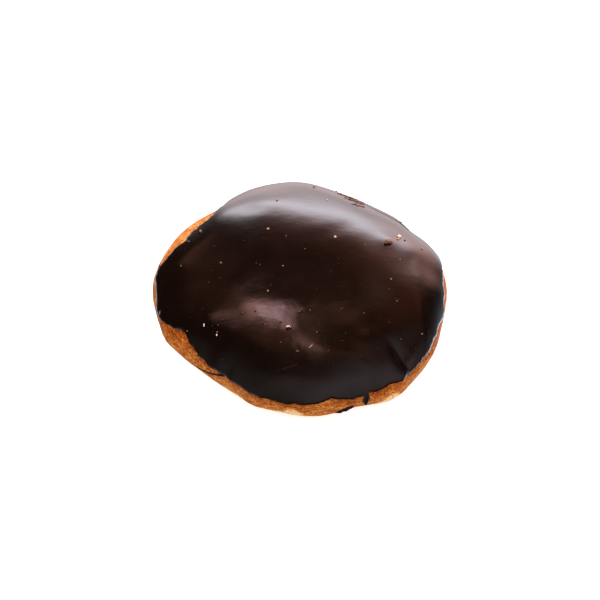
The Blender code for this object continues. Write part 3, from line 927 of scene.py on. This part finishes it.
def crust_material():
    """Fried crust: pale ring, brown above and below it, mottled, with streaks, dark pores and pale golden
    spots that are painted glints, and a lighter pinkish brown that is partly painted sheen.
    """
    material, tree, shader, place = new_material("crust", {"Specular IOR Level": 0.05})
    blotches = noise_node(tree, place, 5.0, 6.0, 0.65)
    streaks = noise_node(tree, round_the_side(tree, place, 12.0), 1.1, 5.0, 0.65)
    mottling = noise_node(tree, place, 0.8, 4.0, 0.75)
    # The attribute read here carries the pale ring and the painted sheen of the back left.
    tone = maths(tree, "MULTIPLY", value_node(tree, "browning_and_sheen"), 0.50)
    for texture, weight in ((blotches, 0.7), (streaks, 0.7), (mottling, 2.0)):
        centred = maths(tree, "SUBTRACT", texture, 0.5)
        tone = maths(tree, "ADD", tone, maths(tree, "MULTIPLY", centred, weight))
    # The pinkish brown away from the icing is lighter and pinker partly as painted sheen.
    pinkish = ramp_node(tree, tone, (
        (0.02, (0.80, 0.60, 0.32)),
        (0.20, (0.66, 0.33, 0.090)),
        (0.40, (0.47, 0.145, 0.020)),
        (0.60, (0.32, 0.074, 0.006)),
        (0.85, (0.15, 0.026, 0.003)),
    ))
    golden = ramp_node(tree, tone, (
        (0.10, (0.60, 0.235, 0.018)),
        (0.32, (0.39, 0.094, 0.003)),
        (0.52, (0.255, 0.045, 0.001)),
        (0.85, (0.115, 0.014, 0.001)),
    ))
    colour = mix_node(tree, value_node(tree, "golden"), pinkish, golden)
    # Pale golden spots: painted glints of the oily crust, put into its base colour.
    painted_glints = range_node(tree, noise_node(tree, place, 0.45, 2.0, 0.6), 0.59, 0.67, 0.0, 0.75)
    colour = mix_node(tree, painted_glints, colour, (0.78, 0.38, 0.07, 1.0))
    distance, grey = cell_node(tree, place, 1.5)
    pore = range_node(tree, distance, 0.12, 0.25, 0.95, 0.0)
    pore = maths(tree, "MULTIPLY", pore, range_node(tree, grey, 0.50, 0.56))
    colour = mix_node(tree, pore, colour, (0.05, 0.012, 0.003, 1.0))
    roughness = range_node(tree, blotches, 0.3, 0.7, 0.38, 0.60)
    skin = bumps(tree, (
        (mottling, 0.16 * MM),
        (noise_node(tree, place, 0.3, 3.0, 0.6), 0.09 * MM),
        (maths(tree, "SUBTRACT", 1.0, pore), 0.12 * MM),
    ))
    feed(tree, shader, {"Base Color": colour, "Roughness": roughness, "Normal": skin})
    return material


def gloss_level(tree):
    """Full gloss, but far less where a level part of the icing is seen from very low."""
    normal = new_node(tree, "NewGeometry", {}).outputs["Normal"]
    level = range_node(tree, new_node(tree, "SeparateXYZ", {0: normal}).outputs[2], *LEVEL_ICING)
    edge_on = new_node(tree, "LayerWeight", {}).outputs["Facing"]
    low = maths(tree, "MULTIPLY", level, range_node(tree, edge_on, *EDGE_ON))
    return range_node(tree, low, 0.0, 1.0, FULL_GLOSS, LOW_GLOSS)


def chocolate_material():
    """Dark chocolate icing: nearly black brown, glossy, with faint dull patches and tiny brown dots."""
    material, tree, shader, place = new_material("chocolate", {})
    tone = noise_node(tree, place, 7.0, 5.0, 0.6)
    colour = ramp_node(tree, tone, (
        (0.3, (0.0032, 0.0014, 0.0008)),
        (0.7, (0.0052, 0.0023, 0.0014)),
    ))
    distance, grey = cell_node(tree, place, 1.1)
    dot = range_node(tree, distance, 0.03, 0.11, 1.0, 0.0)
    dot = maths(tree, "MULTIPLY", dot, range_node(tree, grey, 0.70, 0.78, 0.0, 0.4))
    colour = mix_node(tree, dot, colour, (0.040, 0.016, 0.009, 1.0))
    roughness = range_node(tree, tone, 0.3, 0.7, 0.09, 0.13)
    drawn_out = vectors(tree, "MULTIPLY", place, (0.42, 1.0, 1.0))
    skin = bumps(tree, (
        (noise_node(tree, place, 1.6, 3.0, 0.5), 0.008 * MM),
        (noise_node(tree, place, 0.35, 3.0, 0.6), 0.003 * MM),
        (noise_node(tree, drawn_out, 1.7, 3.0, 0.5), 0.026 * MM),
    ))
    feed(tree, shader, {"Base Color": colour, "Roughness": roughness, "Normal": skin})
    feed(tree, shader, {"Specular IOR Level": gloss_level(tree)})
    return material


def crumb_and_glint_material():
    """Crumbs, torn icing and painted glints: each has its own tone, from dark brown to pale, the glints
    taking the palest tones.
    """
    material, tree, shader, place = new_material("crumb", {"Roughness": 0.45, "Specular IOR Level": 0.4})
    mottling = maths(tree, "SUBTRACT", noise_node(tree, place, 0.35, 3.0, 0.6), 0.5)
    tone = maths(tree, "ADD", value_node(tree, "tone"), maths(tree, "MULTIPLY", mottling, 0.5))
    colour = ramp_node(tree, tone, (
        (0.0, (0.010, 0.004, 0.003)),
        (0.35, (0.075, 0.022, 0.010)),
        (0.55, (0.17, 0.060, 0.028)),
        (0.8, (0.42, 0.22, 0.13)),
        (1.0, (0.80, 0.68, 0.58)),
    ))
    skin = bumps(tree, ((noise_node(tree, place, 0.2, 3.0, 0.6), 0.03 * MM),))
    feed(tree, shader, {"Base Color": colour, "Normal": skin})
    return material


def stage_piece(name, shell, grey, glow):
    """A plain pale piece of the stage, which the icing doesn't mirror."""
    mesh = bpy.data.meshes.new(name)
    shell.to_mesh(mesh)
    shell.free()
    mesh.materials.append(new_material(name, {
        "Base Color": (grey, grey, grey, 1.0),
        "Roughness": 0.8,
        "Specular IOR Level": 0.0,
        "Emission Color": (1.0, 1.0, 1.0, 1.0),
        "Emission Strength": glow,
    })[0])
    piece = in_scene(name, mesh)
    piece.visible_glossy = False
    return piece


def stage():
    """A pale floor, lit a little from below, and a pale surround that only the camera sees."""
    shell = bmesh.new()
    bmesh.ops.create_circle(shell, cap_ends=True, segments=96, radius=STAGE_RADIUS)
    stage_piece("floor", shell, FLOOR_GREY, FLOOR_GLOW)
    shell = bmesh.new()
    bmesh.ops.create_uvsphere(shell, u_segments=48, v_segments=24, radius=STAGE_RADIUS * 1.05)
    surround = stage_piece("surround", shell, STAGE_GREY, STAGE_GREY)
    surround.visible_diffuse = False
    surround.visible_shadow = False


def soft_light(tree, across, along, radiance, edge):
    """A light that fades out where a share of its half size passes 1, more sharply for a higher edge."""
    across = maths(tree, "POWER", maths(tree, "ABSOLUTE", across), edge)
    along = maths(tree, "POWER", maths(tree, "ABSOLUTE", along), 2.0)
    beyond = maths(tree, "MULTIPLY", maths(tree, "ADD", across, along), -1.0)
    return scaled(tree, radiance, maths(tree, "EXPONENT", beyond))


def added(tree, colours):
    """The sum of several colours."""
    return functools.reduce(functools.partial(vectors, tree, "ADD"), colours)


def ceiling(tree, x, y, z):
    """Soft lights on a ceiling, above the horizon only."""
    height = maths(tree, "MAXIMUM", z, 0.05)
    x, y = maths(tree, "DIVIDE", x, height), maths(tree, "DIVIDE", y, height)
    lights = []
    for middle_x, middle_y, half_length, half_width, turn, radiance in CEILING_LIGHTS:
        aside_x, aside_y = maths(tree, "SUBTRACT", x, middle_x), maths(tree, "SUBTRACT", y, middle_y)
        cosine, sine = math.cos(math.radians(turn)), math.sin(math.radians(turn))
        shares = []
        for weight_x, weight_y, half in ((cosine, sine, half_length), (-sine, cosine, half_width)):
            part_x = maths(tree, "MULTIPLY", aside_x, weight_x / half)
            part_y = maths(tree, "MULTIPLY", aside_y, weight_y / half)
            shares.append(maths(tree, "ADD", part_x, part_y))
        lights.append(soft_light(tree, *shares, radiance, 2.0))
    return scaled(tree, added(tree, lights), maths(tree, "GREATER_THAN", z, 0.0))


def windows(tree, x, y, z):
    """Soft windows, and what shines below them."""
    azimuth = maths(tree, "MULTIPLY", maths(tree, "ARCTAN2", x, y), math.degrees(1))
    elevation = maths(tree, "MULTIPLY", maths(tree, "ARCSINE", z), math.degrees(1))
    lights = []
    for middle, level, half_width, half_height, radiance in WINDOWS:
        across = maths(tree, "WRAP", maths(tree, "SUBTRACT", azimuth, middle), 180.0, -180.0)
        across = maths(tree, "DIVIDE", across, half_width)
        along = maths(tree, "DIVIDE", maths(tree, "SUBTRACT", elevation, level), half_height)
        lights.append(soft_light(tree, across, along, radiance, 4.0))
    return added(tree, lights)


def room():
    """A dim room round the doughnut, with soft windows and ceiling lights that the icing mirrors."""
    world = bpy.data.worlds.new("room")
    bpy.context.scene.world = world
    world.use_nodes = True
    tree = world.node_tree
    ray = new_node(tree, "TexCoord", {}).outputs["Generated"]
    axes = new_node(tree, "SeparateXYZ", {0: ray}).outputs
    glow = added(tree, [DIM_ROOM, ceiling(tree, *axes), windows(tree, *axes)])
    feed(tree, tree.nodes["Background"], {"Color": glow})


def overhead_light():
    """A broad soft light from above, too dull to be mirrored."""
    light = bpy.data.lights.new("overhead", "AREA")
    light.shape = "DISK"
    light.size = OVERHEAD_SIZE
    light.energy = OVERHEAD_RADIANCE * math.pi * math.pi * OVERHEAD_SIZE**2 / 4
    lamp = in_scene("overhead", light)
    lamp.location = (0.0, 0.0, OVERHEAD_LEVEL)
    lamp.visible_camera = False
    lamp.visible_glossy = False


def light_scene():
    bpy.context.scene.view_settings.view_transform = "Standard"
    room()
    overhead_light()


def set_camera():
    data = bpy.data.cameras.new("camera")
    data.lens, data.sensor_width = LENS, SENSOR
    data.sensor_fit = "HORIZONTAL"
    data.clip_start = 0.01
    camera = in_scene("camera", data)
    look, eye = camera_place()
    camera.location = eye
    camera.rotation_euler = (look - eye).to_track_quat("-Z", "Y").to_euler()
    bpy.context.scene.camera = camera


def main():
    crust, chocolate, crumbs_and_glints = crust_material(), chocolate_material(), crumb_and_glint_material()
    dough, icing = dough_piece(crust), icing_piece(chocolate)
    on_dough, on_icing = tree_of(dough), tree_of(icing)
    for piece, slot, node in (
        (dough, "crust", "dough"),
        (icing, "chocolate", "icing"),
        (smear_piece(chocolate), "chocolate", "icing_smear"),
        (bubbles_piece(on_icing, chocolate), "chocolate", None),
        (crumbs_and_glints_piece(on_icing, crumbs_and_glints), "crust", None),
        (specks_piece(on_icing, crumbs_and_glints), "crust", None),
        (scuff_piece(on_icing, crumbs_and_glints), "chocolate", None),
        (thread_piece("side_thread", on_dough, *SIDE_THREAD, chocolate), "chocolate", None),
        (thread_piece("icing_ridge", on_icing, *ICING_RIDGE, chocolate), "chocolate", None),
        (thread_piece("icing_fold", on_icing, *ICING_FOLD, chocolate), "chocolate", None),
        (drops_piece(on_dough, chocolate), "chocolate", None),
    ):
        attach(piece, "root")
        if node:
            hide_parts(node)
    stage()
    light_scene()
    set_camera()


main()
